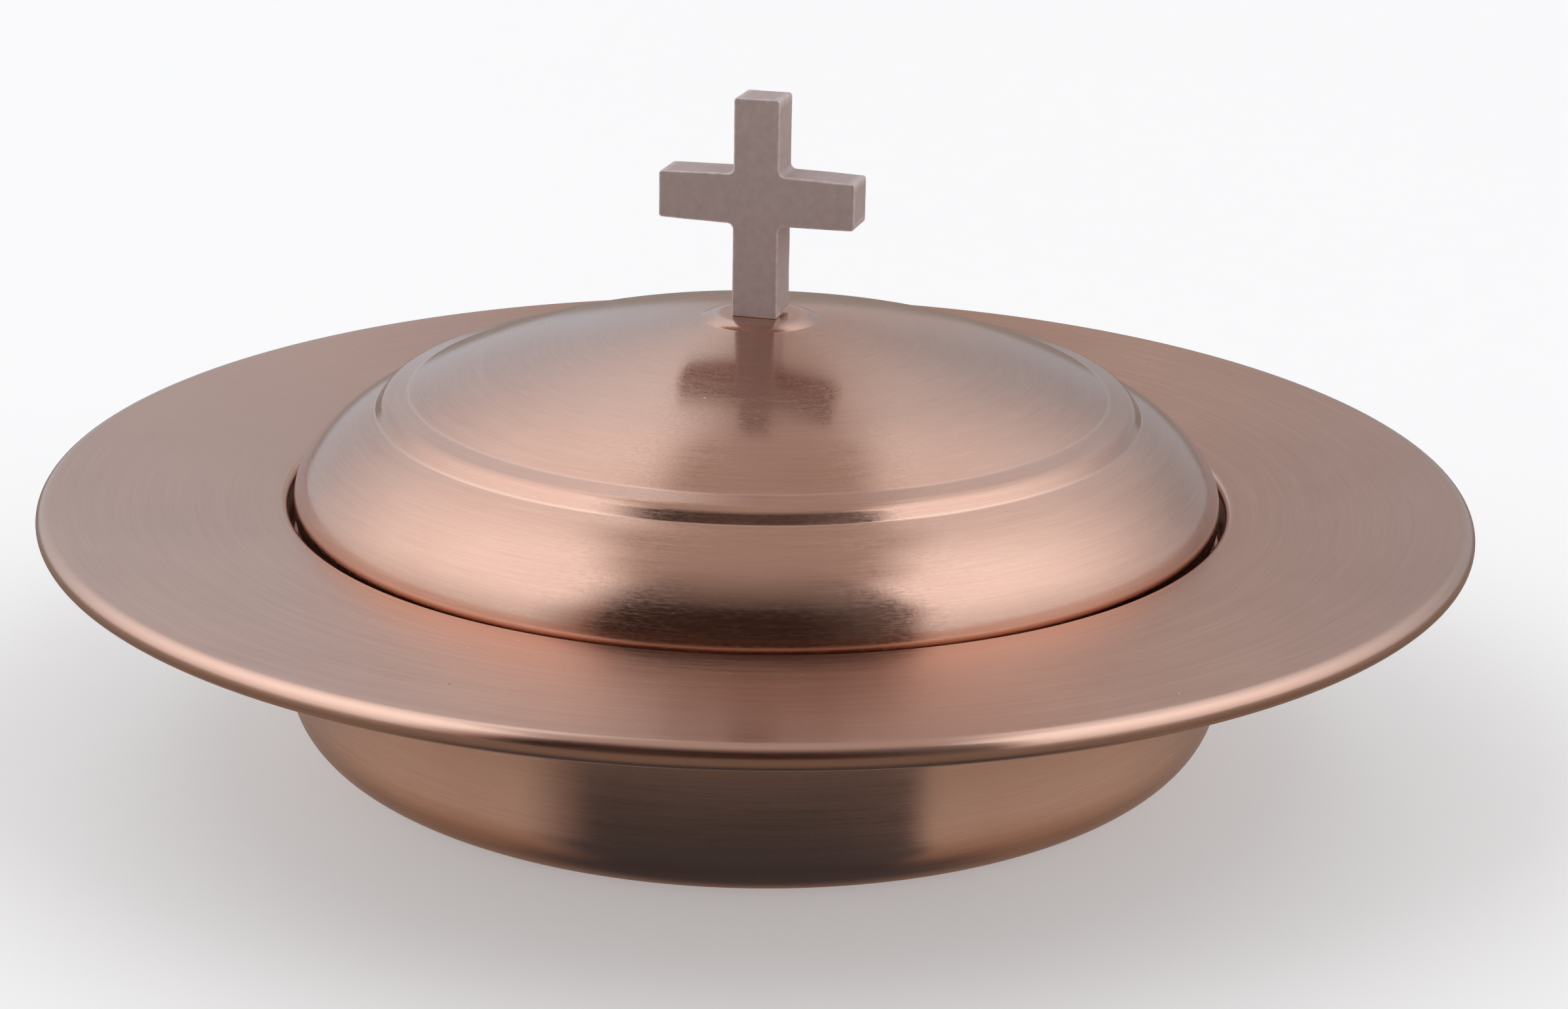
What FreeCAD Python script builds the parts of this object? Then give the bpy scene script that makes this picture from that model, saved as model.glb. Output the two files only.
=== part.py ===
"""Covered table-top baptismal bowl: a spun bowl with a wide rim, and a lift-off domed cover
with a cross for its handle.

The origin is the middle of the underside of the bowl, +Z is up, and the cross faces -Y.
Millimetres and degrees. Every size is a cell of the sheet "sizes", and the sketches and
features are bound to those cells.
"""

import math
import os
from types import SimpleNamespace

import FreeCAD
import Part
import Sketcher

V = FreeCAD.Vector
CLOSE = 0.01  # millimetres; anything nearer than this counts as touching

SIZES = {
    # bowl
    "rim_radius": 178.0,  # outside of the rolled edge
    "bowl_height": 64.6,  # underside of the bowl to the top of the rolled edge
    "bowl_sheet": 1.2,
    "mouth_radius": 117.5,  # inside of the throat, and of the wall below it
    "lip_height": 61.4,  # top of the roll that turns the rim down into the mouth
    "lip_roll": 2.0,
    "foot_roll": 14.0,  # inside radius between the wall and the floor
    "edge_roll": 3.0,  # outside radius of the rolled edge
    "edge_turn": 280.0,  # how far round the edge is rolled
    "wire_radius": 1.75,
    "seat_height": 47.9,  # middle of the bead that the cover rests on
    "seat_depth": 4.5,  # how far that bead stands into the mouth
    "seat_nose": 3.2,
    "seat_blend": 1.5,
    # cover
    "cover_sheet": 1.0,
    "screw_hole": 2.75,  # radius of the hole in the middle of the boss
    "boss_radius": 9.2,  # flat top of the boss that the cross stands on
    "boss_height": 106.3,
    "boss_roll": 12.0,
    "boss_flare": 1.5,
    "crown_roll": 550.0,  # the dome is nearly a cone out to crown_edge
    "crown_edge": 63.0,
    "dome_roll": 128.0,  # and rolls down more tightly from there to the crease
    "dome_offset": 33.3,  # how far from the axis that roll is centred
    "crease_radius": 87.2,
    "crease_height": 87.3,
    "band_slope": 12.0,
    "ridge_roll": 4.0,
    "riser_slope": 55.0,
    "valley_radius": 95.6,
    "shoulder_roll": 41.0,
    "shoulder_slope": 52.0,  # slope where the shoulder passes into the tighter skirt roll
    "cover_radius": 116.2,
    "widest_height": 60.6,
    "skirt_roll": 15.0,
    "skirt_taper": 12.0,
    "skirt_height": 50.0,  # lowest point of the hem
    "hem_roll": 1.4,
    "hem_length": 3.0,
    # cross
    "cross_height": 54.5,
    "cross_width": 49.6,
    "cross_depth": 11.5,
    "stem_width": 11.5,
    "arm_middle": 29.5,  # foot of the cross to the middle of its arms
    "arm_root": 12.5,  # the arms taper from this height at the stem
    "arm_end": 11.6,  # to this at their ends
    "inner_corner": 1.5,
    "outer_corner": 0.8,
    "edge_break": 0.35,
    "notch_height": 1.1,
    "notch_depth": 8.0,
    # screw and washers
    "thread_radius": 2.5,
    "thread_play": 0.05,
    "tapped_depth": 15.0,
    "screw_length": 16.0,
    "screw_point": 0.5,
    "head_radius": 4.75,
    "head_height": 3.7,
    "head_round": 2.4,
    "drive_width": 1.1,
    "drive_length": 5.2,
    "drive_depth": 2.0,
    "washer_bore": 2.65,
    "washer_radius": 7.5,
    "washer_thickness": 1.2,
    "lock_bore": 2.6,
    "lock_radius": 4.6,
    "lock_thickness": 1.2,
    "lock_turn": 350.0,
}
# The same sizes as plain names, for drawing each sketch close to where its dimensions hold it.
S = SimpleNamespace(**SIZES)


def make_sheet(doc):
    """The table of sizes: one row for each, its name beside its value."""
    sheet = doc.addObject("Spreadsheet::Sheet", "sizes")
    for row, (name, value) in enumerate(SIZES.items(), start=1):
        sheet.set(f"A{row}", name)
        sheet.set(f"B{row}", str(value))
        sheet.setAlias(f"B{row}", name)
    doc.recompute()


def direction(angle):
    """Unit step at an angle in degrees from the sketch's first axis."""
    return V(math.cos(math.radians(angle)), math.sin(math.radians(angle)), 0)


def angle_of(step):
    return math.degrees(math.atan2(step.y, step.x))


class Outline:
    """A chain of lines and arcs in a sketch, each starting where the last one ended.

    The joint between two pieces is "Tangent" where the outline runs on smoothly and
    "Coincident" where it has a corner.
    """

    def __init__(self, sketch):
        self.sketch = sketch
        self.first = None
        self.last = None

    def _chain(self, start, end, joint):
        if self.last is None:
            self.first = start
        else:
            self.sketch.addConstraint(Sketcher.Constraint(joint, *self.last, *start))
        self.last = end
        return start[0]

    def line(self, start, end, joint="Tangent", along=None):
        """A straight stretch; along may hold it "Horizontal" or "Vertical"."""
        index = self.sketch.addGeometry(Part.LineSegment(start, end))
        self._chain((index, 1), (index, 2), joint)
        if along:
            self.sketch.addConstraint(Sketcher.Constraint(along, index))
        return index

    def arc(self, centre, radius, start, end, joint="Tangent"):
        """A round stretch from one direction to another; start above end runs clockwise."""
        low, high = sorted((math.radians(start), math.radians(end)))
        circle = Part.Circle(centre, V(0, 0, 1), radius)
        index = self.sketch.addGeometry(Part.ArcOfCircle(circle, low, high))
        ends = ((index, 2), (index, 1)) if start > end else ((index, 1), (index, 2))
        return self._chain(*ends, joint)

    def close(self):
        self.sketch.addConstraint(Sketcher.Constraint("Coincident", *self.last, *self.first))

    def size(self, kind, *where, to):
        """Holds one dimension to an expression on the sheet."""
        scale = math.radians(1) if kind == "Angle" else 1
        value = self.sketch.evalExpression(to)
        index = self.sketch.addConstraint(Sketcher.Constraint(kind, *where, value * scale))
        bound = f"({to}) * 1 deg" if kind == "Angle" else to
        self.sketch.setExpression(f"Constraints[{index}]", bound)

    def point(self, index, end, across=None, up=None):
        """Holds a point to a distance across and up from the sketch's origin."""
        if across:
            self.size("DistanceX", -1, 1, index, end, to=across)
        if up:
            self.size("DistanceY", -1, 1, index, end, to=up)


START, END, CENTRE = 1, 2, 3


def bowl_outline(sketch):
    """The upper skin of the bowl: floor, wall, seat bead, throat, lip, rim and rolled edge."""
    path = Outline(sketch)
    wall = S.mouth_radius
    foot = V(wall - S.foot_roll, S.bowl_sheet + S.foot_roll, 0)
    floor = path.line(V(0, S.bowl_sheet, 0), foot - V(0, S.foot_roll, 0), along="Horizontal")
    path.point(floor, START, up="sizes.bowl_sheet")
    sketch.addConstraint(Sketcher.Constraint("PointOnObject", floor, START, -2))
    foot_arc = path.arc(foot, S.foot_roll, -90, 0)
    path.size("Radius", foot_arc, to="sizes.foot_roll")

    # The bead is an arc that bulges into the mouth, blended into the wall above and below.
    nose = V(wall + S.seat_nose - S.seat_depth, S.seat_height, 0)
    reach = S.seat_nose + S.seat_blend
    rise = math.sqrt(reach**2 - (reach - S.seat_depth) ** 2)
    below = V(wall - S.seat_blend, S.seat_height - rise, 0)
    above = V(wall - S.seat_blend, S.seat_height + rise, 0)
    turn = angle_of(nose - below)
    side = path.line(foot + V(S.foot_roll, 0, 0), below + V(S.seat_blend, 0, 0), along="Vertical")
    path.point(side, START, across="sizes.mouth_radius")
    low_blend = path.arc(below, S.seat_blend, 0, turn)
    nose_arc = path.arc(nose, S.seat_nose, 180 + turn, 180 - turn)
    high_blend = path.arc(above, S.seat_blend, -turn, 0)
    nose_across = "sizes.mouth_radius + sizes.seat_nose - sizes.seat_depth"
    path.point(nose_arc, CENTRE, nose_across, "sizes.seat_height")
    path.size("Radius", low_blend, to="sizes.seat_blend")
    path.size("Radius", nose_arc, to="sizes.seat_nose")
    path.size("Radius", high_blend, to="sizes.seat_blend")

    # The rim is the straight line that touches the lip's roll and the rolled edge from above.
    lip = V(wall + S.lip_roll, S.lip_height - S.lip_roll, 0)
    edge = V(S.rim_radius - S.edge_roll, S.bowl_height - S.edge_roll, 0)
    span = edge - lip
    slope = angle_of(span) + math.degrees(math.asin((S.edge_roll - S.lip_roll) / span.Length))
    square = direction(90 + slope)
    throat = path.line(above + V(S.seat_blend, 0, 0), lip - V(S.lip_roll, 0, 0), along="Vertical")
    path.point(throat, END, across="sizes.mouth_radius")
    lip_arc = path.arc(lip, S.lip_roll, 180, 90 + slope)
    path.line(lip + square * S.lip_roll, edge + square * S.edge_roll)
    edge_arc = path.arc(edge, S.edge_roll, 90 + slope, 90 + slope - S.edge_turn)
    path.point(lip_arc, CENTRE, up="sizes.lip_height - sizes.lip_roll")
    path.size("Radius", lip_arc, to="sizes.lip_roll")
    edge_across, edge_up = "sizes.rim_radius - sizes.edge_roll", "sizes.bowl_height - sizes.edge_roll"
    path.point(edge_arc, CENTRE, edge_across, edge_up)
    path.size("Radius", edge_arc, to="sizes.edge_roll")
    path.size("Angle", edge_arc, to="sizes.edge_turn")


def meet(first, first_reach, second, second_reach):
    """The higher of the two points that lie a given reach from each of two centres."""
    span = second - first
    along = (first_reach**2 - second_reach**2 + span.Length**2) / (2 * span.Length)
    aside = math.sqrt(first_reach**2 - along**2)
    unit = V(span).normalize()
    foot = first + unit * along
    across = V(-unit.y, unit.x, 0) * aside
    return max(foot + across, foot - across, key=lambda point: point.x)


def cover_outline(sketch):
    """The upper skin of the cover: boss, dome, ridge, shoulder, skirt and hem."""
    path = Outline(sketch)
    crease = V(S.crease_radius, S.crease_height, 0)
    reach = S.crease_radius - S.dome_offset
    dome = V(S.dome_offset, S.crease_height - math.sqrt(S.dome_roll**2 - reach**2), 0)
    crown_turn = math.degrees(math.acos((S.crown_edge - S.dome_offset) / S.dome_roll))
    crown = dome - direction(crown_turn) * (S.crown_roll - S.dome_roll)
    boss = V(S.boss_radius, S.boss_height - S.boss_roll, 0)
    flare = meet(boss, S.boss_roll + S.boss_flare, crown, S.crown_roll + S.boss_flare)
    boss_turn = angle_of(flare - boss)
    flare_turn = angle_of(flare - crown)
    top = path.line(V(S.screw_hole, S.boss_height, 0), boss + V(0, S.boss_roll, 0), along="Horizontal")
    path.point(top, START, "sizes.screw_hole", "sizes.boss_height")
    boss_arc = path.arc(boss, S.boss_roll, 90, boss_turn)
    path.point(boss_arc, CENTRE, across="sizes.boss_radius")
    path.size("Radius", boss_arc, to="sizes.boss_roll")
    flare_arc = path.arc(flare, S.boss_flare, 180 + boss_turn, 180 + flare_turn)
    path.size("Radius", flare_arc, to="sizes.boss_flare")
    crown_arc = path.arc(crown, S.crown_roll, flare_turn, crown_turn)
    path.point(crown_arc, START, across="sizes.crown_edge")  # an arc's own start is its clockwise end
    path.size("Radius", crown_arc, to="sizes.crown_roll")
    dome_arc = path.arc(dome, S.dome_roll, crown_turn, angle_of(crease - dome))
    path.point(dome_arc, CENTRE, across="sizes.dome_offset")
    path.size("Radius", dome_arc, to="sizes.dome_roll")

    # Shoulder and skirt: two arcs of shrinking radius, the second reaching past the widest place.
    skirt = V(S.cover_radius - S.skirt_roll, S.widest_height, 0)
    shoulder_turn = 90 - S.shoulder_slope
    shoulder = skirt - direction(shoulder_turn) * (S.shoulder_roll - S.skirt_roll)
    valley_drop = S.valley_radius - shoulder.x
    valley = shoulder + V(valley_drop, math.sqrt(S.shoulder_roll**2 - valley_drop**2), 0)

    # Ridge: the band and the riser are straight, with a roll where they would meet.
    band_step = direction(-S.band_slope)
    riser_step = direction(-S.riser_slope)
    gap = valley - crease
    band_length = (gap.x * riser_step.y - gap.y * riser_step.x) / (
        band_step.x * riser_step.y - band_step.y * riser_step.x
    )
    ridge = crease + band_step * band_length
    cut = S.ridge_roll * math.tan(math.radians(S.riser_slope - S.band_slope) / 2)
    band_end = ridge - band_step * cut
    roll = band_end - direction(90 - S.band_slope) * S.ridge_roll
    band = path.line(crease, band_end, joint="Coincident")
    path.point(band, START, "sizes.crease_radius", "sizes.crease_height")
    path.size("Angle", band, to="-sizes.band_slope")
    roll_arc = path.arc(roll, S.ridge_roll, 90 - S.band_slope, 90 - S.riser_slope)
    path.size("Radius", roll_arc, to="sizes.ridge_roll")
    riser = path.line(ridge + riser_step * cut, valley)
    path.point(riser, END, across="sizes.valley_radius")
    path.size("Angle", riser, to="-sizes.riser_slope")
    valley_turn = angle_of(valley - shoulder)
    shoulder_arc = path.arc(shoulder, S.shoulder_roll, valley_turn, shoulder_turn, "Coincident")
    path.size("Radius", shoulder_arc, to="sizes.shoulder_roll")
    skirt_arc = path.arc(skirt, S.skirt_roll, shoulder_turn, -S.skirt_taper)
    path.point(skirt_arc, CENTRE, "sizes.cover_radius - sizes.skirt_roll", "sizes.widest_height")
    path.size("Radius", skirt_arc, to="sizes.skirt_roll")
    path.size("Angle", skirt_arc, to="90 - sizes.shoulder_slope + sizes.skirt_taper")

    # The taper of the skirt runs straight into the hem, which is folded back inside it.
    down = direction(-90 - S.skirt_taper)
    outward = direction(-S.skirt_taper)
    start = skirt + outward * (S.skirt_roll - S.hem_roll)
    length = (start.y - S.skirt_height - S.hem_roll) / -down.y
    hem = start + down * length
    taper = path.line(skirt + outward * S.skirt_roll, hem + outward * S.hem_roll)
    path.size("Angle", taper, to="-90 - sizes.skirt_taper")
    hem_arc = path.arc(hem, S.hem_roll, -S.skirt_taper, -S.skirt_taper - 180)
    path.point(hem_arc, CENTRE, up="sizes.skirt_height + sizes.hem_roll")
    path.size("Radius", hem_arc, to="sizes.hem_roll")
    path.size("Angle", hem_arc, to="180")
    fold = hem - outward * S.hem_roll
    leaf = path.line(fold, fold - down * S.hem_length)
    path.size("Distance", leaf, to="sizes.hem_length")


def spun_shell(doc, label, outline, thickness):
    """Sheet metal spun on a lathe: an upper skin, thickened downwards and turned about Z."""
    sketch = doc.addObject("Sketcher::SketchObject", label + "_outline")
    sketch.Placement = FreeCAD.Placement(V(0, 0, 0), FreeCAD.Rotation(V(1, 0, 0), 90))
    outline(sketch)
    doc.recompute()
    section = doc.addObject("Part::Offset2D", label + "_section")
    section.Source = sketch
    section.Mode = "Skin"
    section.Fill = True
    section.setExpression("Value", f"-{thickness}")
    shell = doc.addObject("Part::Revolution", label)
    shell.Source = section
    shell.Axis = V(0, 0, 1)
    shell.Solid = True
    return shell


def rim_wire(doc):
    """The wire that the bowl's edge is rolled around."""
    wire = doc.addObject("Part::Torus", "rim_wire")
    wire.setExpression("Radius1", "sizes.rim_radius - sizes.edge_roll")
    wire.setExpression("Radius2", "sizes.wire_radius")
    wire.setExpression("Placement.Base.z", "sizes.bowl_height - sizes.edge_roll")
    return wire


def plane_sketch(body, name, role, lift=None):
    """A sketch on one of the body's own origin planes, lifted by an expression if one is given."""
    sketch = body.newObject("Sketcher::SketchObject", name)
    plane = next(feature for feature in body.Origin.OriginFeatures if feature.Role == role)
    sketch.AttachmentSupport = [(plane, "")]
    sketch.MapMode = "FlatFace"
    if lift:
        sketch.setExpression("AttachmentOffset.Base.z", lift)
    return sketch


def straight_outline(sketch, points):
    """A closed outline of straight sides through (across, up) pairs of expressions."""
    path = Outline(sketch)
    corners = [V(sketch.evalExpression(across), sketch.evalExpression(up), 0) for across, up in points]
    for corner, following, (across, up) in zip(corners, corners[1:] + corners[:1], points):
        side = path.line(corner, following, joint="Coincident")
        path.point(side, START, across, up)
    path.close()


def circle(sketch, radius):
    """A circle around the sketch's origin."""
    index = sketch.addGeometry(Part.Circle(V(0, 0, 0), V(0, 0, 1), sketch.evalExpression(radius)))
    sketch.addConstraint(Sketcher.Constraint("Coincident", index, CENTRE, -1, START))
    Outline(sketch).size("Radius", index, to=radius)


def feature(body, kind, name, sketch, reverse=False, both_ways=False, **settings):
    """A feature made from a sketch, with its settings as expressions, as the body's new tip."""
    made = body.newObject("PartDesign::" + kind, name)
    made.Profile = sketch
    made.Reversed = reverse
    if both_ways:
        made.SideType = "Symmetric"
    for setting, expression in settings.items():
        made.setExpression(setting, expression)
    return made


def dress_edges(body, name, radius, wanted):
    """Rounds every edge of the body's present shape that wanted(edge) accepts."""
    body.Document.recompute()
    base = body.Tip
    names = [f"Edge{number}" for number, edge in enumerate(base.Shape.Edges, start=1) if wanted(edge)]
    fillet = body.newObject("PartDesign::Fillet", name)
    fillet.Base = (base, names)
    fillet.setExpression("Radius", radius)


def cross_finial(doc):
    """The cast cross: arms that taper a little to their ends, and a foot tapped for the screw."""
    body = doc.addObject("PartDesign::Body", "cross_finial")
    body.setExpression("Placement.Base.z", "sizes.boss_height")
    stem, reach, top = "sizes.stem_width / 2", "sizes.cross_width / 2", "sizes.cross_height"
    half_end, half_root = "sizes.arm_end / 2", "sizes.arm_root / 2"
    right = [
        (stem, "0"),
        (stem, f"sizes.arm_middle - {half_root}"),
        (reach, f"sizes.arm_middle - {half_end}"),
        (reach, f"sizes.arm_middle + {half_end}"),
        (stem, f"sizes.arm_middle + {half_root}"),
        (stem, top),
    ]
    left = [(f"-{across}", up) for across, up in reversed(right)]
    outline = plane_sketch(body, "cross_outline", "XZ_Plane")
    straight_outline(outline, right + left)
    feature(body, "Pad", "cross_pad", outline, both_ways=True, Length="sizes.cross_depth")

    def runs_through(edge):
        return edge.BoundBox.YLength > S.cross_depth / 2

    def is_inner(edge):
        return runs_through(edge) and abs(edge.CenterOfMass.x) < S.stem_width and (
            abs(edge.CenterOfMass.z - S.arm_middle) < S.arm_root
        )

    def is_outer(edge):
        above_foot = edge.CenterOfMass.z > S.arm_middle - S.arm_root
        return runs_through(edge) and above_foot and edge.Curve.TypeId == "Part::GeomLine" and (
            abs(edge.CenterOfMass.x) > S.stem_width or edge.CenterOfMass.z > S.cross_height - CLOSE
        )

    def is_face_edge(edge):
        return edge.BoundBox.YLength < CLOSE and edge.CenterOfMass.z > CLOSE

    dress_edges(body, "inner_corners", "sizes.inner_corner", is_inner)
    dress_edges(body, "outer_corners", "sizes.outer_corner", is_outer)
    dress_edges(body, "broken_edges", "sizes.edge_break", is_face_edge)

    notch = plane_sketch(body, "notch_outline", "YZ_Plane")
    front, back = "sizes.cross_depth / 2 - sizes.notch_depth", "sizes.cross_depth"
    low, high = "-sizes.notch_height", "sizes.notch_height"
    straight_outline(notch, [(front, low), (back, low), (back, high), (front, high)])
    feature(body, "Pocket", "notch", notch, both_ways=True, Length="sizes.stem_width * 2")
    thread = plane_sketch(body, "thread_outline", "XY_Plane")
    circle(thread, "sizes.thread_radius + sizes.thread_play")
    feature(body, "Pocket", "tapped_hole", thread, reverse=True, Length="sizes.tapped_depth")
    return body


def finial_screw(doc):
    """The pan-head screw that holds the cross, its bearing face at its own origin."""
    body = doc.addObject("PartDesign::Body", "finial_screw")
    body.setExpression(
        "Placement.Base.z",
        "sizes.boss_height - sizes.cover_sheet - sizes.washer_thickness - sizes.lock_thickness",
    )
    outline = plane_sketch(body, "screw_outline", "XZ_Plane")
    path = Outline(outline)
    bottom = -S.head_height
    corner = V(S.head_radius - S.head_round, bottom + S.head_round, 0)
    flat = path.line(V(0, bottom, 0), corner + V(0, -S.head_round, 0), along="Horizontal")
    path.point(flat, START, up="-sizes.head_height")
    outline.addConstraint(Sketcher.Constraint("PointOnObject", flat, START, -2))
    path.size("Radius", path.arc(corner, S.head_round, -90, 0), to="sizes.head_round")
    bearing = V(S.head_radius, 0, 0)
    neck = V(S.thread_radius, 0, 0)
    side = path.line(corner + V(S.head_round, 0, 0), bearing, along="Vertical")
    path.point(side, END, across="sizes.head_radius")
    outline.addConstraint(Sketcher.Constraint("PointOnObject", side, END, -1))
    under = path.line(bearing, neck, "Coincident", "Horizontal")
    path.point(under, END, across="sizes.thread_radius")
    shoulder = V(S.thread_radius, S.screw_length - S.screw_point, 0)
    point = V(S.thread_radius - S.screw_point, S.screw_length, 0)
    shank = path.line(neck, shoulder, "Coincident", "Vertical")
    path.point(shank, END, up="sizes.screw_length - sizes.screw_point")
    chamfer = path.line(shoulder, point, "Coincident")
    path.point(chamfer, END, "sizes.thread_radius - sizes.screw_point", "sizes.screw_length")
    path.line(point, V(0, S.screw_length, 0), "Coincident", "Horizontal")
    path.line(V(0, S.screw_length, 0), V(0, bottom, 0), "Coincident", "Vertical")
    path.close()
    turned = feature(body, "Revolution", "screw_turned", outline, Angle="360")
    turned.ReferenceAxis = (outline, ["V_Axis"])

    drive = plane_sketch(body, "drive_outline", "XY_Plane", lift="-sizes.head_height")
    slot, reach = "sizes.drive_width / 2", "sizes.drive_length / 2"
    arm = [(reach, slot), (slot, slot), (slot, reach)]
    corners = []
    for _ in range(4):
        corners += arm
        arm = [(f"-({up})", across) for across, up in arm]  # a quarter turn
    straight_outline(drive, corners)
    feature(body, "Pocket", "drive", drive, reverse=True, Length="sizes.drive_depth")
    return body


def flat_washer(doc):
    """The wide washer that lies against the inside of the boss."""
    body = doc.addObject("PartDesign::Body", "flat_washer")
    body.setExpression(
        "Placement.Base.z", "sizes.boss_height - sizes.cover_sheet - sizes.washer_thickness"
    )
    outline = plane_sketch(body, "washer_outline", "XY_Plane")
    circle(outline, "sizes.washer_radius")
    circle(outline, "sizes.washer_bore")
    feature(body, "Pad", "washer_pad", outline, Length="sizes.washer_thickness")
    return body


def lock_washer(doc):
    """The split spring washer between the screw's head and the flat washer, closed up."""
    body = doc.addObject("PartDesign::Body", "lock_washer")
    body.setExpression(
        "Placement.Base.z",
        "sizes.boss_height - sizes.cover_sheet - sizes.washer_thickness - sizes.lock_thickness",
    )
    outline = plane_sketch(body, "section_outline", "XZ_Plane")
    inner, outer, thick = "sizes.lock_bore", "sizes.lock_radius", "sizes.lock_thickness"
    straight_outline(outline, [(inner, "0"), (outer, "0"), (outer, thick), (inner, thick)])
    ring = feature(body, "Revolution", "ring", outline, Angle="sizes.lock_turn")
    ring.ReferenceAxis = (outline, ["V_Axis"])
    return body


def build(doc):
    """Every piece of the bowl, as document objects whose labels are the pieces' names."""
    make_sheet(doc)
    pieces = [
        spun_shell(doc, "bowl_shell", bowl_outline, "sizes.bowl_sheet"),
        rim_wire(doc),
        spun_shell(doc, "cover_shell", cover_outline, "sizes.cover_sheet"),
        cross_finial(doc),
        finial_screw(doc),
        lock_washer(doc),
        flat_washer(doc),
    ]
    doc.recompute()
    return pieces


def check(doc, pieces):
    """Stops before anything is written if a feature failed or a piece isn't one sound solid."""
    for item in doc.Objects:
        if {"Invalid", "Error"} & set(item.State):
            raise RuntimeError(f"{item.Label} failed: {item.State}")
    for piece in pieces:
        shape = piece.Shape
        if shape.isNull() or not shape.isValid() or len(shape.Solids) != 1:
            raise RuntimeError(f"{piece.Label} is not one valid solid")


document = FreeCAD.newDocument("baptismal_bowl")
parts = build(document)
check(document, parts)
os.makedirs("parts", exist_ok=True)
for part in parts:
    part.Shape.exportStep(f"parts/{part.Label}.step")
    print(f"{part.Label}: {part.Shape.Volume / 1000:.2f} cm3")
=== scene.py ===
"""Looks of the covered baptismal bowl: fine spun meshes, copper finishes, studio and camera."""

import math

import bpy
from mathutils import Matrix, Vector, noise


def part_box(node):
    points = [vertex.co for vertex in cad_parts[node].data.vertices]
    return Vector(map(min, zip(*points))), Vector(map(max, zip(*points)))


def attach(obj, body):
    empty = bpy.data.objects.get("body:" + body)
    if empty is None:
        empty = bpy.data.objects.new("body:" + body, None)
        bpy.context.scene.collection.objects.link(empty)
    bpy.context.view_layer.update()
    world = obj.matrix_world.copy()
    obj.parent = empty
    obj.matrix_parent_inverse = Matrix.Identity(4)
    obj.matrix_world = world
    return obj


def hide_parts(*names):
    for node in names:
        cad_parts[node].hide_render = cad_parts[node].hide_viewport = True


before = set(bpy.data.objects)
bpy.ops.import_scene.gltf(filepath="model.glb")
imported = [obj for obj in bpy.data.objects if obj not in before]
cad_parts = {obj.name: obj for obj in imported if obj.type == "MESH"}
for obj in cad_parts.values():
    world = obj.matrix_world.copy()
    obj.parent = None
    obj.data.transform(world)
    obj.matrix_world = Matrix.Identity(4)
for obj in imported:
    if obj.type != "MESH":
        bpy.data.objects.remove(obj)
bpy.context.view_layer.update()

MM = 0.001
SEGMENTS = 256  # facets round the axis
ARC_STEP = 4.0  # degrees between the points of a round stretch
STRETCH = 3.0  # millimetres between the points of a straight stretch
YAW = 15.0  # degrees that the cross is turned away from the camera
SEED = 7

bowl_low, bowl_high = (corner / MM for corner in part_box("bowl_shell"))
cover_low, cover_high = (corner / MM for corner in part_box("cover_shell"))
cross_low, cross_high = (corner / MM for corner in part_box("cross_finial"))
screw_low, screw_high = (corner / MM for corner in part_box("finial_screw"))


# ---------------------------------------------------------------- outlines and meshes


def direction(angle):
    return Vector((math.cos(math.radians(angle)), math.sin(math.radians(angle))))


def angle_of(step):
    return math.degrees(math.atan2(step.y, step.x))


def meet(first, first_reach, second, second_reach):
    """The outer of the two points that lie a given reach from each of two centres."""
    span = second - first
    along = (first_reach**2 - second_reach**2 + span.length**2) / (2 * span.length)
    aside = math.sqrt(first_reach**2 - along**2)
    unit = span.normalized()
    foot = first + unit * along
    across = Vector((-unit.y, unit.x)) * aside
    return max(foot + across, foot - across, key=lambda point: point.x)


def nestle(point, slope, centre, reach, roll, side):
    """The centre of a small roll that touches a sloping line from above and a big arc from outside.

    Of the two such centres, side 1 takes the outer and -1 the inner.
    """
    along = direction(slope)
    start = point + Vector((-along.y, along.x)) * roll
    gap = centre - start
    nearest = start + along * gap.dot(along)
    half = math.sqrt((reach + roll) ** 2 - (centre - nearest).length_squared)
    return nearest + along * half * side


class Skin:
    """The upper skin of a spun sheet, as points (radius, height) in millimetres from the axis out."""

    def __init__(self, radius, height):
        self.points = [Vector((radius, height))]

    def line(self, end, step=STRETCH):
        start = self.points[-1]
        count = max(1, round((end - start).length / step))
        self.points += [start.lerp(end, (index + 1) / count) for index in range(count)]

    def arc(self, centre, radius, start, end, step=ARC_STEP):
        """Points round a centre; the first one is joined to the last point by a straight stretch."""
        first = centre + direction(start) * radius
        if (first - self.points[-1]).length > 0.02:
            self.line(first)
        count = max(3, round(abs(end - start) / step))
        for index in range(1, count + 1):
            turn = start + (end - start) * index / count
            self.points.append(centre + direction(turn) * radius)


def thicken(points, thickness):
    """The closed loop between a skin and its copy offset to the right by the sheet's thickness."""
    under = []
    for index, point in enumerate(points):
        before = points[max(index - 1, 0)]
        after = points[min(index + 1, len(points) - 1)]
        arriving = (point - before if index else after - point).normalized()
        leaving = (after - point if index < len(points) - 1 else arriving).normalized()
        along = (arriving + leaving).normalized()
        mitre = thickness / max(0.5, along.dot(leaving))
        under.append(point + Vector((along.y, -along.x)) * mitre)
    return points + under[::-1]


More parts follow.
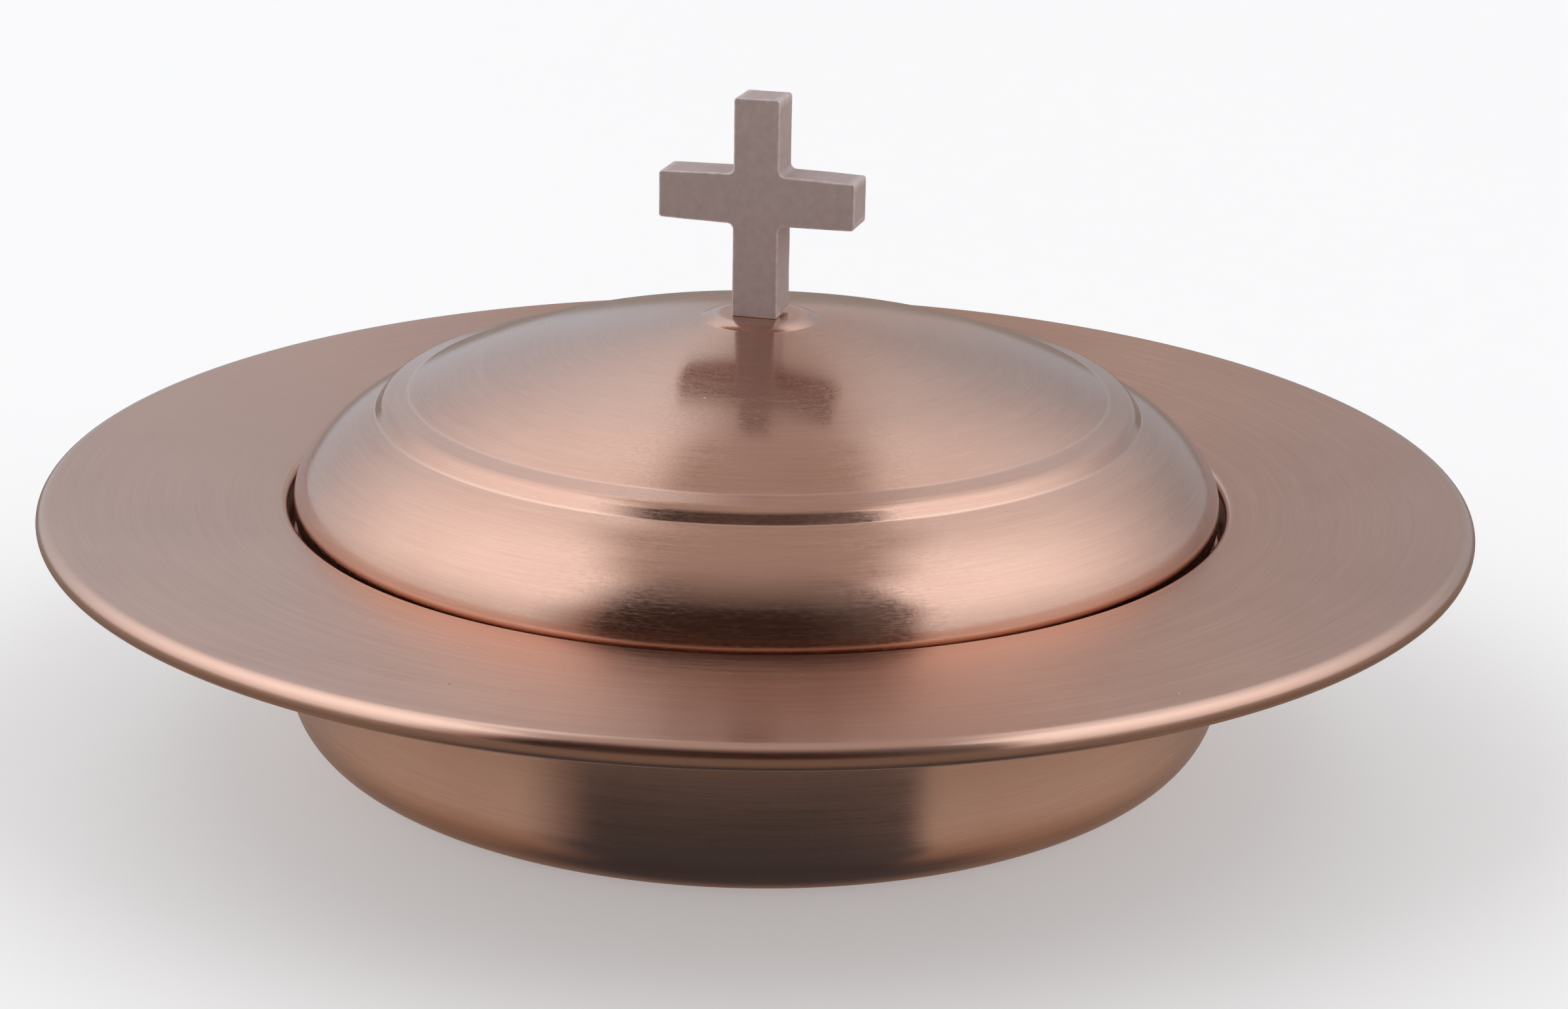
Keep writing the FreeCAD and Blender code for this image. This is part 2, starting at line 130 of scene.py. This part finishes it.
def spin(name, loop):
    """A mesh made by turning a closed loop of (radius, height) about Z; points on the axis become poles."""
    vertices = []
    rings = []
    for point in loop:
        count = 1 if point.x < 1e-6 else SEGMENTS
        rings.append([len(vertices) + index for index in range(count)])
        for index in range(count):
            turn = 2 * math.pi * index / SEGMENTS
            vertices.append((point.x * math.cos(turn) * MM, point.x * math.sin(turn) * MM, point.y * MM))
    faces = []
    for ring, following in zip(rings, rings[1:] + rings[:1]):
        for index in range(SEGMENTS):
            beside = (index + 1) % SEGMENTS
            if len(ring) == 1 and len(following) == 1:
                break
            if len(ring) == 1:
                faces.append((ring[0], following[index], following[beside]))
            elif len(following) == 1:
                faces.append((ring[index], following[0], ring[beside]))
            else:
                faces.append((ring[index], following[index], following[beside], ring[beside]))
    return mesh_object(name, vertices, faces)


def mesh_object(name, vertices, faces):
    mesh = bpy.data.meshes.new(name)
    mesh.from_pydata(vertices, [], faces)
    mesh.validate()
    mesh.shade_smooth()
    made = bpy.data.objects.new(name, mesh)
    bpy.context.scene.collection.objects.link(made)
    return made


# ---------------------------------------------------------------- the spun bowl and cover


def bowl_skin():
    """Floor, wall, seat bead, throat, lip, flat rim and rolled edge."""
    sheet, mouth, foot_roll, lip_roll, edge_roll = 1.2, 117.5, 14.0, 2.0, 3.0
    seat_height, seat_depth, seat_nose, seat_blend = 47.9, 4.5, 3.2, 1.5
    lip_height, edge_turn = bowl_high.z - 3.2, 280.0
    skin = Skin(0.0, sheet)
    skin.arc(Vector((mouth - foot_roll, sheet + foot_roll)), foot_roll, -90, 0)
    nose = Vector((mouth + seat_nose - seat_depth, seat_height))
    reach = seat_nose + seat_blend
    rise = math.sqrt(reach**2 - (reach - seat_depth) ** 2)
    below = Vector((mouth - seat_blend, seat_height - rise))
    above = Vector((mouth - seat_blend, seat_height + rise))
    turn = angle_of(nose - below)
    skin.arc(below, seat_blend, 0, turn, 12)
    skin.arc(nose, seat_nose, 180 + turn, 180 - turn, 8)
    skin.arc(above, seat_blend, -turn, 0, 12)
    lip = Vector((mouth + lip_roll, lip_height - lip_roll))
    edge = Vector((bowl_high.x - edge_roll, bowl_high.z - edge_roll))
    span = edge - lip
    slope = angle_of(span) + math.degrees(math.asin((edge_roll - lip_roll) / span.length))
    skin.arc(lip, lip_roll, 180, 90 + slope, 6)
    skin.arc(edge, edge_roll, 90 + slope, 90 + slope - edge_turn, 8)
    return thicken(skin.points, sheet)


def cover_skin():
    """Boss, dome, ridge, shoulder, tapered skirt and hem."""
    sheet, hole = 1.0, 2.75
    skin = Skin(hole, cover_high.z)
    crease = Vector((87.2, cover_high.z - 19.0))
    dome_roll, dome_offset = 128.0, 33.3
    dome = Vector((dome_offset, crease.y - math.sqrt(dome_roll**2 - (crease.x - dome_offset) ** 2)))
    crown_roll, crown_edge = 550.0, 63.0
    crown_turn = math.degrees(math.acos((crown_edge - dome_offset) / dome_roll))
    crown = dome - direction(crown_turn) * (crown_roll - dome_roll)
    boss_roll, flare_roll = 12.0, 1.5
    boss = Vector((9.2, cover_high.z - boss_roll))
    flare = meet(boss, boss_roll + flare_roll, crown, crown_roll + flare_roll)
    skin.arc(boss, boss_roll, 90, angle_of(flare - boss), 3)
    skin.arc(flare, flare_roll, 180 + angle_of(flare - boss), 180 + angle_of(flare - crown), 3)
    skin.arc(crown, crown_roll, angle_of(flare - crown), crown_turn, 0.2)

    band_slope, riser_slope, ridge_roll, crease_roll, valley_roll = -12.0, -55.0, 4.0, 3.0, 0.8
    shoulder_roll, shoulder_turn, skirt_roll, taper = 41.0, 38.0, 15.0, 12.0
    skirt = Vector((cover_high.x - skirt_roll, 60.6))
    shoulder = skirt - direction(shoulder_turn) * (shoulder_roll - skirt_roll)
    drop = 95.6 - shoulder.x
    valley = shoulder + Vector((drop, math.sqrt(shoulder_roll**2 - drop**2)))
    band, riser = direction(band_slope), direction(riser_slope)
    gap = valley - crease
    ridge = crease + band * (gap.cross(riser) / band.cross(riser))
    cut = ridge_roll * math.tan(math.radians(band_slope - riser_slope) / 2)
    roll = ridge - band * cut - direction(90 + band_slope) * ridge_roll
    hollow = nestle(crease, band_slope, dome, dome_roll, crease_roll, 1)
    ditch = nestle(valley, riser_slope, shoulder, shoulder_roll, valley_roll, -1)
    skin.arc(dome, dome_roll, crown_turn, angle_of(hollow - dome), 0.8)
    skin.arc(hollow, crease_roll, 180 + angle_of(hollow - dome), 270 + band_slope, 3)
    skin.arc(roll, ridge_roll, 90 + band_slope, 90 + riser_slope)
    skin.arc(ditch, valley_roll, 270 + riser_slope - 360, angle_of(ditch - shoulder) - 180, 6)
    skin.arc(shoulder, shoulder_roll, angle_of(ditch - shoulder), shoulder_turn, 2)
    skin.arc(skirt, skirt_roll, shoulder_turn, -taper)
    hem_roll, hem_length = 1.4, 3.0
    start = skirt + direction(-taper) * (skirt_roll - hem_roll)
    down = direction(-90 - taper)
    hem = start + down * ((start.y - cover_low.z - hem_roll) / -down.y)
    skin.arc(hem, hem_roll, -taper, -taper - 180, 12)
    skin.line(skin.points[-1] - down * hem_length)
    return thicken(skin.points, sheet)


# ---------------------------------------------------------------- the cast cross

EDGE = "edge"  # mesh attribute, 1 on the broken edges, where a highlight is painted brighter


def cross_corners():
    """The cross as corners (across, up, roll): the right half from the foot to the top, then its mirror."""
    stem, reach, top = 11.5 / 2, cross_high.x, cross_high.z - cross_low.z
    arm_middle, half_root, half_end = 29.5, 12.5 / 2, 11.6 / 2
    foot, inner, outer = 0.5, 1.5, 0.8
    right = [
        (stem, 0.0, foot),
        (stem, arm_middle - half_root, inner),
        (reach, arm_middle - half_end, outer),
        (reach, arm_middle + half_end, outer),
        (stem, arm_middle + half_root, inner),
        (stem, top, outer),
    ]
    return right + [(-across, up, roll) for across, up, roll in reversed(right)]


def rounded(corners, step=1.5, turn_step=15.0):
    """Points round a closed outline of rounded corners, as (point, way out, whether it is on a corner)."""
    bends = []
    for index, (x, y, roll) in enumerate(corners):
        corner = Vector((x, y))
        before = Vector(corners[index - 1][:2])
        after = Vector(corners[(index + 1) % len(corners)][:2])
        arriving, leaving = (corner - before).normalized(), (after - corner).normalized()
        turn = math.degrees(math.atan2(arriving.cross(leaving), arriving.dot(leaving)))
        side = math.copysign(1, turn)
        cut = roll * math.tan(math.radians(abs(turn)) / 2)
        centre = corner - arriving * cut + Vector((-arriving.y, arriving.x)) * roll * side
        count = max(2, round(abs(turn) / turn_step))
        first = angle_of(arriving) - 90
        ways = [direction(first + turn * part / count) for part in range(count + 1)]
        bends.append([(centre + way * roll * side, way, side > 0) for way in ways])
    outline = []
    for bend, following in zip(bends, bends[1:] + bends[:1]):
        outline += bend
        start, way, _ = bend[-1]
        end = following[0][0]
        count = round((end - start).length / step)
        outline += [(start.lerp(end, part / count), way, False) for part in range(1, count)]
    return outline


def cross_rings():
    """Slices of the cross from front to back, as (place, inset of the outline, lift of the foot, edge)."""
    edge_break, support, slice_step = 0.35, 0.1, 1.0
    notch_height, notch_depth = 1.1, 8.0
    front, back = cross_low.y, cross_high.y
    notch = back - notch_depth
    rings = [(front, edge_break + support, 0.0, 0.0)]
    for turn in range(0, 91, 18):
        deep, out = direction(turn) * edge_break
        rings.append((front + edge_break - deep, edge_break - out, 0.0, 1.0))
    rings.append((front + edge_break + support, 0.0, 0.0, 0.0))
    place = front + slice_step
    while place < notch:
        rings.append((place, 0.0, 0.0, 0.0))
        place += slice_step
    rings.append((notch, 0.0, 0.0, 0.0))
    rings.append((notch, 0.0, notch_height, 0.0))
    place = notch + slice_step
    while place < back - slice_step / 2:
        rings.append((place, 0.0, notch_height, 0.0))
        place += slice_step
    rings.append((back - edge_break - support, 0.0, notch_height, 0.0))
    for turn in range(90, -1, -18):
        deep, out = direction(turn) * edge_break
        rings.append((back - edge_break + deep, edge_break - out, notch_height, 1.0))
    rings.append((back, edge_break + support, notch_height, 0.0))
    return rings


def cast_cross(name):
    """The cross as slices joined from front to back, a little uneven as a casting is."""
    outline = rounded(cross_corners())
    unevenness, wave, edge_break = 0.07, 7.0, 0.35
    vertices, edges = [], []
    for place, inset, lift, edge in cross_rings():
        for point, way, on_corner in outline:
            at = point - way * inset
            spot = Vector((at.x, place, cross_low.z + max(at.y, lift + inset)))
            above_foot = min(1.0, at.y / wave)
            wobble = noise.noise_vector(spot / wave + Vector((SEED, 0, 0))) * unevenness * above_foot
            spot += Vector((wobble.x, 0, wobble.z))
            # The edge value marks where a highlight is painted: the broken front and back edges in full,
            # the outer corners a little less.
            vertices.append(spot * MM)
            on_cap = inset > edge_break
            edges.append(max(edge, 0.8 if on_corner and not on_cap else 0.0))
    count = len(outline)
    last = len(vertices) - count
    faces = [tuple(range(count)), tuple(range(last + count - 1, last - 1, -1))]
    for start in range(0, last, count):
        for index in range(count):
            beside = (index + 1) % count
            faces.append((start + index, start + count + index, start + count + beside, start + beside))
    made = mesh_object(name, vertices, faces)
    made.data.attributes.new(EDGE, "FLOAT", "POINT").data.foreach_set("value", edges)
    return made


def drill(target, radius, depth):
    """Takes the tapped hole up into the cross from its foot."""
    below = Vector((0, cross_low.z - 1))
    top = Vector((0, cross_low.z + depth))
    side = Vector((radius, 0))
    bit = spin("bit", [top, top + side, below + side, below])
    cut = target.modifiers.new("tapped hole", "BOOLEAN")
    cut.object = bit
    cut.solver = "EXACT"
    graph = bpy.context.evaluated_depsgraph_get()
    target.data = bpy.data.meshes.new_from_object(target.evaluated_get(graph))
    target.modifiers.clear()
    bpy.data.objects.remove(bit)


# ---------------------------------------------------------------- materials


class Nodes:
    """Adds shader nodes to one tree. Inputs are plain values or other nodes' outputs."""

    def __init__(self, tree):
        self.tree = tree
        self.tree.nodes.clear()

    def add(self, kind, inputs=None, **settings):
        node = self.tree.nodes.new("ShaderNode" + kind)
        for name, value in settings.items():
            setattr(node, name, value)
        for name, value in (inputs or {}).items():
            if isinstance(value, bpy.types.NodeSocket):
                self.tree.links.new(value, node.inputs[name])
            else:
                node.inputs[name].default_value = value
        return node

    def math(self, operation, *values):
        return self.add("Math", dict(enumerate(values)), operation=operation).outputs[0]

    def vector(self, operation, *values, output=0):
        return self.add("VectorMath", dict(enumerate(values)), operation=operation).outputs[output]

    def rise(self, value, low, high, floor=0.0, top=1.0):
        """Goes smoothly from floor to top while the value goes from low to high."""
        inputs = {0: value, 1: low, 2: high, 3: floor, 4: top}
        if high < low:
            inputs = {0: value, 1: high, 2: low, 3: top, 4: floor}
        return self.add("MapRange", inputs, interpolation_type="SMOOTHSTEP").outputs[0]

    def spread(self, value, floor, top):
        """Takes a noise's middle range, which is where most of it lies, to floor and top."""
        return self.add("MapRange", {0: value, 1: 0.3, 2: 0.7, 3: floor, 4: top}).outputs[0]

    def blend(self, share, first, second):
        mix = self.add("Mix", {0: share, 6: first, 7: second}, data_type="RGBA")
        return mix.outputs[2]

    def noise(self, place, scale, detail=2.0, w=None):
        inputs = {"Vector": place, "Scale": scale, "Detail": detail}
        if w is not None:
            inputs["W"] = w
        dimensions = "3D" if w is None else "4D"
        return self.add("TexNoise", inputs, noise_dimensions=dimensions).outputs[0]

    def bump(self, height, size, normal=None):
        """A bump of a height in millimetres, laid over another one."""
        inputs = {"Height": height, "Distance": size * MM}
        if normal is not None:
            inputs["Normal"] = normal
        return self.add("Bump", inputs).outputs[0]

    def place(self):
        """The place on the piece in millimetres, which goes with the piece when it moves."""
        return self.vector("SCALE", self.add("TexCoord").outputs["Object"], output=0)


def new_material(name):
    material = bpy.data.materials.new(name)
    material.use_nodes = True
    return material, Nodes(material.node_tree)


def finish_surface(nodes, inputs, **more):
    surface = nodes.add("BsdfPrincipled", inputs, **more)
    output = nodes.add("OutputMaterial")
    nodes.tree.links.new(surface.outputs[0], output.inputs[0])
    return surface


class Lathe:
    """Places on a spun piece: how far round, out and up, so that marks follow the turning."""

    def __init__(self, nodes):
        self.nodes = nodes
        self.place = nodes.vector("SCALE", nodes.add("TexCoord").outputs["Object"])
        self.place.node.inputs["Scale"].default_value = 1 / MM
        level = nodes.vector("MULTIPLY", self.place, (1, 1, 0))
        self.round = nodes.vector("NORMALIZE", level)
        self.out = nodes.vector("LENGTH", level, output=1)
        self.up = nodes.add("SeparateXYZ", {0: self.place}).outputs[2]

    def marks(self, spacing, turns, detail=1.0, shift=0.0):
        """Turning marks a given spacing apart, each broken up about so many times round."""
        nodes = self.nodes
        outward = nodes.math("MULTIPLY", self.out, 1 / spacing)
        upward = nodes.math("MULTIPLY_ADD", self.up, 1 / spacing, SEED + shift)
        round_about = nodes.add("VectorMath", {0: self.round, "Scale": turns}, operation="SCALE").outputs[0]
        lift = nodes.add("CombineXYZ", {2: outward}).outputs[0]
        return nodes.noise(nodes.vector("ADD", round_about, lift), 1.0, detail, upward)

    def ring(self, radius, width):
        """1 on a circle of a radius, and 0 further from it than the width."""
        gap = self.nodes.math("ABSOLUTE", self.nodes.math("SUBTRACT", self.out, radius))
        return self.nodes.rise(gap, width, 0.0)


def specks(nodes, place, spacing, size, share, shift):
    """Round specks: a share of the cells of a loose grid hold one, each of its own size."""
    moved = nodes.vector("ADD", place, (shift, shift, shift))
    cells = nodes.add("TexVoronoi", {"Vector": moved, "Scale": 1 / spacing})
    own = nodes.add("SeparateXYZ", {0: cells.outputs["Color"]}).outputs
    reach = nodes.math("MULTIPLY", own[0], size / spacing)
    inside = nodes.math("LESS_THAN", cells.outputs["Distance"], reach)
    chosen = nodes.math("LESS_THAN", own[1], share)
    return nodes.math("MULTIPLY", inside, chosen)


def spun_copper(name, dull, stretch, lacquer, grainy, painted_highlights, shift):
    """Satin copper turned on a lathe under clear lacquer.

    Dull is its roughness and stretch how much wider it blurs across the turning marks than along
    them. Grainy is 1 where the edges of what it mirrors break up into grain and 0 where they stay
    smooth. The rings, (radius, width), are painted highlights: brighter, smoother copper where
    bright lines of light run round the creases and rolled edges.
    """
    material, nodes = new_material(name)
    lathe = Lathe(nodes)
    fine = lathe.marks(0.22, 7.0, 1.0, shift)
    broad = lathe.marks(1.6, 2.5, 3.0, shift + 40)
    cloud = nodes.noise(lathe.place, 0.022, 3.0)
    peel = nodes.noise(lathe.place, 1.3, 1.0)
    grain = lathe.marks(0.4, 60.0, 1.0, shift + 80)
    # Painted highlight: the rings where bright lines of light run round the creases and rolled edges.
    highlight_share = 0.0
    for radius, width in painted_highlights:
        highlight_share = nodes.math("MAXIMUM", highlight_share, lathe.ring(radius, width))
    tone = nodes.math("ADD", nodes.spread(fine, -0.16, 0.16), nodes.spread(broad, -0.1, 0.1))
    tone = nodes.math("ADD", tone, nodes.spread(cloud, 0.35, 0.65))
    colour = nodes.blend(tone, (0.56, 0.325, 0.245, 1), (0.70, 0.455, 0.36, 1))
    # Painted highlight: lighter copper on those rings.
    colour = nodes.blend(nodes.math("MULTIPLY", highlight_share, 0.5), colour, (0.80, 0.56, 0.46, 1))
    dust = specks(nodes, lathe.place, 9.0, 0.35, 0.5, shift)
    pits = specks(nodes, lathe.place, 30.0, 0.45, 0.4, shift + 11)
    colour = nodes.blend(dust, colour, (0.75, 0.66, 0.60, 1))
    colour = nodes.blend(pits, colour, (0.10, 0.06, 0.05, 1))
    rough = nodes.math("ADD", nodes.spread(fine, -0.03, 0.03), nodes.spread(broad, -0.02, 0.03))
    rough = nodes.math("ADD", rough, nodes.spread(cloud, -0.02, 0.02))
    smooth, coarse = dull * (1.15 - 0.45 * grainy), dull * (1.15 + 0.45 * grainy)
    rough = nodes.math("ADD", rough, nodes.spread(grain, smooth, coarse))
    rough = nodes.math("MULTIPLY_ADD", highlight_share, -0.03, rough)
    rough = nodes.math("MULTIPLY_ADD", dust, 0.4, rough)
    relief = nodes.bump(peel, 0.006 * grainy)
    relief = nodes.bump(fine, 0.0012, relief)
    relief = nodes.bump(nodes.math("SUBTRACT", dust, pits), 0.02, relief)
    finish_surface(
        nodes,
        {
            "Base Color": colour,
            "Metallic": 1.0,
            "Roughness": rough,
            "Anisotropic": stretch,
            "Anisotropic Rotation": 0.25,
            "Coat Weight": lacquer,
            "Coat Roughness": 0.12,
            "Tangent": nodes.add("Tangent", direction_type="RADIAL", axis="Z").outputs[0],
            "Normal": relief,
        },
    )
    return material


def cast_copper(name):
    """Blasted cast metal with a brown-pink copper tone and a painted highlight along its broken edges."""
    material, nodes = new_material(name)
    place = nodes.add("VectorMath", {0: nodes.add("TexCoord").outputs["Object"], "Scale": 1 / MM},
                      operation="SCALE").outputs[0]
    grain = nodes.noise(place, 3.0, 3.0)
    mottle = nodes.noise(place, 0.5, 4.0)
    edge = nodes.add("Attribute", attribute_name=EDGE).outputs["Fac"]
    # Painted highlight along the broken edges, patchy with the mottle.
    painted_highlights = nodes.math("MULTIPLY", edge, nodes.spread(mottle, 0.45, 1.0))
    tone = nodes.math("ADD", nodes.spread(grain, -0.1, 0.1), nodes.spread(mottle, 0.25, 0.75))
    colour = nodes.blend(tone, (0.48, 0.375, 0.36, 1), (0.64, 0.52, 0.50, 1))
    # Painted highlight: lighter, pinker copper on those edges.
    colour = nodes.blend(nodes.math("MULTIPLY", painted_highlights, 0.75), colour, (0.92, 0.80, 0.75, 1))
    rough = nodes.math("ADD", nodes.spread(grain, -0.05, 0.05), nodes.spread(mottle, 0.42, 0.52))
    rough = nodes.math("MULTIPLY_ADD", painted_highlights, -0.15, rough)
    relief = nodes.bump(mottle, 0.015)
    relief = nodes.bump(grain, 0.008, relief)
    finish_surface(
        nodes, {"Base Color": colour, "Metallic": 0.35, "Roughness": rough, "Normal": relief}
    )
    return material


def plain_steel(name):
    """Turned and tumbled zinc-grey steel with a slightly blotched, dulled face."""
    material, nodes = new_material(name)
    lathe = Lathe(nodes)
    marks = lathe.marks(0.12, 3.0)
    cloud = nodes.noise(lathe.place, 0.9, 4.0)
    tone = nodes.math("ADD", nodes.spread(marks, -0.2, 0.2), nodes.spread(cloud, 0.2, 0.8))
    colour = nodes.blend(tone, (0.38, 0.37, 0.36, 1), (0.62, 0.62, 0.63, 1))
    rough = nodes.math("ADD", nodes.spread(marks, -0.04, 0.04), nodes.spread(cloud, 0.26, 0.42))
    relief = nodes.bump(marks, 0.002)
    relief = nodes.bump(cloud, 0.01, relief)
    finish_surface(
        nodes, {"Base Color": colour, "Metallic": 1.0, "Roughness": rough, "Normal": relief}
    )
    return material


# ---------------------------------------------------------------- pieces


def wear(piece, material):
    piece.data.materials.clear()
    piece.data.materials.append(material)


bowl = spin("bowl_spinning", bowl_skin())
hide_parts("bowl_shell")
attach(bowl, "bowl")
# The last list holds the rings of painted highlight on the rolled edge and the lip.
wear(bowl, spun_copper("bowl copper", 0.19, 0.9, 0.08, 0.2, [(176.5, 2.0), (118.6, 1.2)], 0.0))

cover = spin("cover_spinning", cover_skin())
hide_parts("cover_shell")
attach(cover, "cover")
# The last list holds the rings of painted highlight on the crease, the valley and round the boss.
wear(cover, spun_copper("cover copper", 0.16, 0.4, 0.3, 0.9, [(87.4, 0.7), (95.6, 0.5), (11.0, 1.5)], 17.0))

cross = cast_cross("cross_casting")
drill(cross, 2.55, 15.0)
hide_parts("cross_finial")
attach(cross, "cover")
wear(cross, cast_copper("cast copper"))

steel = plain_steel("plain steel")
for node in ("finial_screw", "lock_washer", "flat_washer", "rim_wire"):
    wear(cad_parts[node], steel)


# ---------------------------------------------------------------- studio and camera

RIM = bowl_high.x * MM


def floor():
    """A wide pale table top, faintly mottled.

    Polished metal mirrors it as a darker top, and mirrors the studio's low light instead of the
    part that lies in the bowl's own shade. From below it is clear, so that the underside shows.
    """
    reach, shade, level = 6.0, 0.215, -0.2 * MM
    corners = [(x * reach, y * reach, level) for x, y in ((-1, -1), (1, -1), (1, 1), (-1, 1))]
    made = mesh_object("table top", corners, [(0, 1, 2, 3)])
    material, nodes = new_material("pale table")
    place = nodes.add("TexCoord").outputs["Object"]
    mirrored = nodes.add("LightPath").outputs["Is Glossy Ray"]
    colour = nodes.blend(nodes.noise(place, 2.0, 3.0), (0.84, 0.84, 0.84, 1), (0.86, 0.86, 0.86, 1))
    top = nodes.add(
        "BsdfPrincipled",
        {
            "Base Color": nodes.blend(mirrored, colour, (0.30, 0.235, 0.18, 1)),
            "Roughness": nodes.spread(nodes.noise(place, 60.0), 0.6, 0.75),
            "Emission Color": (1, 1, 1, 1),
            "Emission Strength": nodes.math("MULTIPLY_ADD", mirrored, -0.3, 0.3),
        },
    )
    out = nodes.vector("LENGTH", place, output=1)
    open_share = nodes.math("MULTIPLY", mirrored, nodes.rise(out, shade, shade - 0.03))
    below = nodes.add("NewGeometry").outputs["Backfacing"]
    open_share = nodes.math("MAXIMUM", open_share, below)
    clear = nodes.add("BsdfTransparent").outputs[0]
    mix = nodes.add("MixShader", {0: open_share, 1: top.outputs[0], 2: clear})
    output = nodes.add("OutputMaterial")
    nodes.tree.links.new(mix.outputs[0], output.inputs[0])
    wear(made, material)


def studio():
    """Tall soft walls of light left and right, a dark gap round the camera, a dimmer ceiling and back."""
    world = bpy.data.worlds.new("studio")
    bpy.context.scene.world = world
    world.use_nodes = True
    nodes = Nodes(world.node_tree)
    looking = nodes.add("TexCoord").outputs["Generated"]
    turned = nodes.add("VectorRotate", {0: looking, "Angle": math.radians(-YAW)}, rotation_type="Z_AXIS")
    x, y, z = nodes.add("SeparateXYZ", {0: turned.outputs[0]}).outputs
    aside = nodes.math("DEGREES", nodes.math("ARCTAN2", x, nodes.math("MULTIPLY", y, -1)))
    height = nodes.math("DEGREES", nodes.math("ARCSINE", z))
    around = nodes.math("ABSOLUTE", aside)

    ceiling, dark, shade = (0.49, 0.43, 0.41, 1), (0.046, 0.029, 0.023, 1), (0.055, 0.055, 0.062, 1)
    beside = nodes.blend(nodes.rise(height, -5, 50), (0.95, 0.96, 0.98, 1), (1.42, 1.46, 1.5, 1))
    behind_low = nodes.blend(nodes.rise(x, -0.2, 0.2), (0.55, 0.60, 0.66, 1), (0.43, 0.455, 0.49, 1))
    behind_high = nodes.blend(nodes.rise(x, -0.2, 0.2), (1.15, 1.17, 1.2, 1), (1.0, 1.02, 1.05, 1))
    behind = nodes.blend(nodes.rise(height, 12, 55), behind_low, behind_high)
    to_back = nodes.rise(nodes.math("ABSOLUTE", nodes.math("ADD", aside, 6)), 85, 150)
    walls = nodes.blend(to_back, beside, behind)
    seam_half = nodes.rise(height, 38, 72, 4, 24)
    off_seam = nodes.math("SUBTRACT", nodes.math("SUBTRACT", 178, nodes.math("ABSOLUTE", nodes.math("ADD", aside, 2))), seam_half)
    walls = nodes.blend(nodes.rise(off_seam, 4, -4), walls, ceiling)
    low = nodes.blend(nodes.rise(height, -25, -55), (0.40, 0.31, 0.25, 1), (0.31, 0.22, 0.165, 1))
    low = nodes.blend(nodes.rise(around, 95, 145, 0.0, 0.35), low, shade)
    low = nodes.blend(nodes.rise(height, -53, -70), low, shade)
    walls = nodes.blend(nodes.rise(height, -6, -24), walls, low)
    slope = nodes.rise(nodes.math("ABSOLUTE", nodes.math("SUBTRACT", around, 103)), 0, 50, 0, 7)
    walls = nodes.blend(nodes.rise(nodes.math("ADD", height, slope), 65, 77), walls, ceiling)
    gap = nodes.blend(nodes.rise(height, 44, 87), dark, ceiling)
    gap = nodes.blend(nodes.rise(height, -10, -28), gap, shade)
    wide = nodes.rise(height, -15, -60, 0, 15)
    near = nodes.math("SUBTRACT", nodes.math("ABSOLUTE", aside), wide)
    left = nodes.math("SUBTRACT", near, nodes.rise(height, 35, 60, 0, 5))
    lit_left = nodes.math("MULTIPLY", nodes.rise(left, 34, 57), nodes.math("LESS_THAN", aside, 0))
    tilt = nodes.math("SUBTRACT", near, nodes.rise(height, 5, 60, 0, 9))
    edge = nodes.math("ADD", nodes.rise(near, 10, 36, 0.0, 0.07), nodes.rise(tilt, 35, 43, 0.0, 0.93))
    lit_right = nodes.math("MULTIPLY", edge, nodes.math("GREATER_THAN", aside, 0))
    lit = nodes.math("ADD", lit_left, lit_right)
    colour = nodes.blend(lit, gap, walls)
    border = nodes.math("MULTIPLY", nodes.rise(lit, 0.03, 0.2), nodes.rise(lit, 0.75, 0.2))
    border = nodes.math("MULTIPLY", border, nodes.rise(height, 60, 25))
    border = nodes.math("MULTIPLY", border, nodes.rise(height, -30, -5))
    glow = nodes.vector("SCALE", (0.15, 0.04, 0.012))
    nodes.tree.links.new(border, glow.node.inputs["Scale"])
    colour = nodes.vector("ADD", colour, glow)
    shine = nodes.add("Background", {"Color": colour})
    output = nodes.add("OutputWorld")
    nodes.tree.links.new(shine.outputs[0], output.inputs[0])


def camera():
    """A short telephoto lens, 18 degrees above the rim and four rim radii away."""
    sensor, focal = 36.0, 69.17
    spot = Vector((0.0381, -4.0789, 1.3130)) * RIM + Vector((0, 0, bowl_high.z * MM))
    across = Vector((0.99983, 0.00576, 0.01726))
    up = Vector((-0.0182, 0.31655, 0.94844))
    away = across.cross(up)
    turn = Matrix.Rotation(math.radians(YAW), 4, "Z")
    view = Matrix((across, up, away)).transposed().to_4x4()
    view.translation = spot
    data = bpy.data.cameras.new("camera")
    data.lens = focal
    data.sensor_width = sensor
    made = bpy.data.objects.new("camera", data)
    made.matrix_world = turn @ view
    bpy.context.scene.collection.objects.link(made)
    bpy.context.scene.camera = made


floor()
studio()
camera()
bpy.context.scene.view_settings.view_transform = "Standard"
